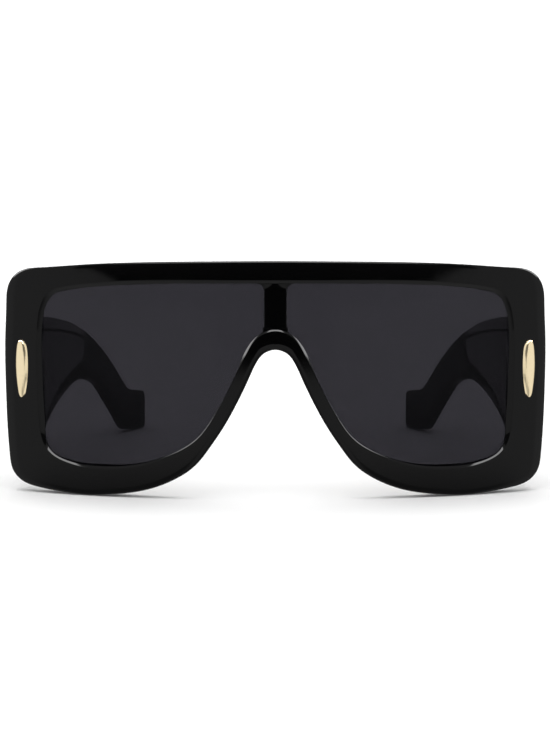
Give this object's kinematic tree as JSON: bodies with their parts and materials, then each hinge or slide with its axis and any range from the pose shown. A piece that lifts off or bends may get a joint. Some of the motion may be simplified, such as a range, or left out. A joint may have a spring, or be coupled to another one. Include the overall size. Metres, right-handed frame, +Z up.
{
  "type": "oversized sunglasses",
  "caption": "Oversized flat-top mask sunglasses: glossy rim with tinted lenses, gilt drops and wide folding temples on barrel hinges.",
  "frame": {"origin": "on the surface the glasses rest on, under the middle of their footprint", "axes": "+Z up, -Y the way the front faces, +X towards the viewer's right when the front is seen"},
  "size_m": [0.1514, 0.1452, 0.0645],
  "materials": {
    "frame_acetate": "polished black acetate",
    "temple_acetate": "polished black acetate",
    "pad_acetate": "tumbled black acetate",
    "tinted_lens": "grey tinted, polished",
    "gilt": "pale gilt, polished",
    "hinge_metal": "pale gilt, satin",
    "screw_steel": "turned",
    "core_steel": "drawn wire"
  },
  "bodies": {
    "front": {"front_frame": "frame_acetate", "left_lens": "tinted_lens", "right_lens": "tinted_lens", "left_drop": "gilt", "right_drop": "gilt", "left_nose_pad": "pad_acetate", "right_nose_pad": "pad_acetate", "left_front_leaf": "hinge_metal", "right_front_leaf": "hinge_metal", "left_front_rivets": "hinge_metal", "right_front_rivets": "hinge_metal", "left_hinge_screw": "screw_steel", "right_hinge_screw": "screw_steel"},
    "left_temple": {"left_temple": "temple_acetate", "left_temple_leaf": "hinge_metal", "left_temple_rivets": "hinge_metal", "left_core_wire": "core_steel"},
    "right_temple": {"right_temple": "temple_acetate", "right_temple_leaf": "hinge_metal", "right_temple_rivets": "hinge_metal", "right_core_wire": "core_steel"}
  },
  "joints": [
    {"name": "left_temple_fold", "type": "hinge", "parent": "front", "child": "left_temple", "pos_m": [-0.067, -0.05009, 0.0345], "axis": [0, 0, -1], "range_deg": [0, 76]},
    {"name": "right_temple_fold", "type": "hinge", "parent": "front", "child": "right_temple", "pos_m": [0.067, -0.05009, 0.0345], "axis": [0, 0, 1], "range_deg": [0, 84]}
  ]
}
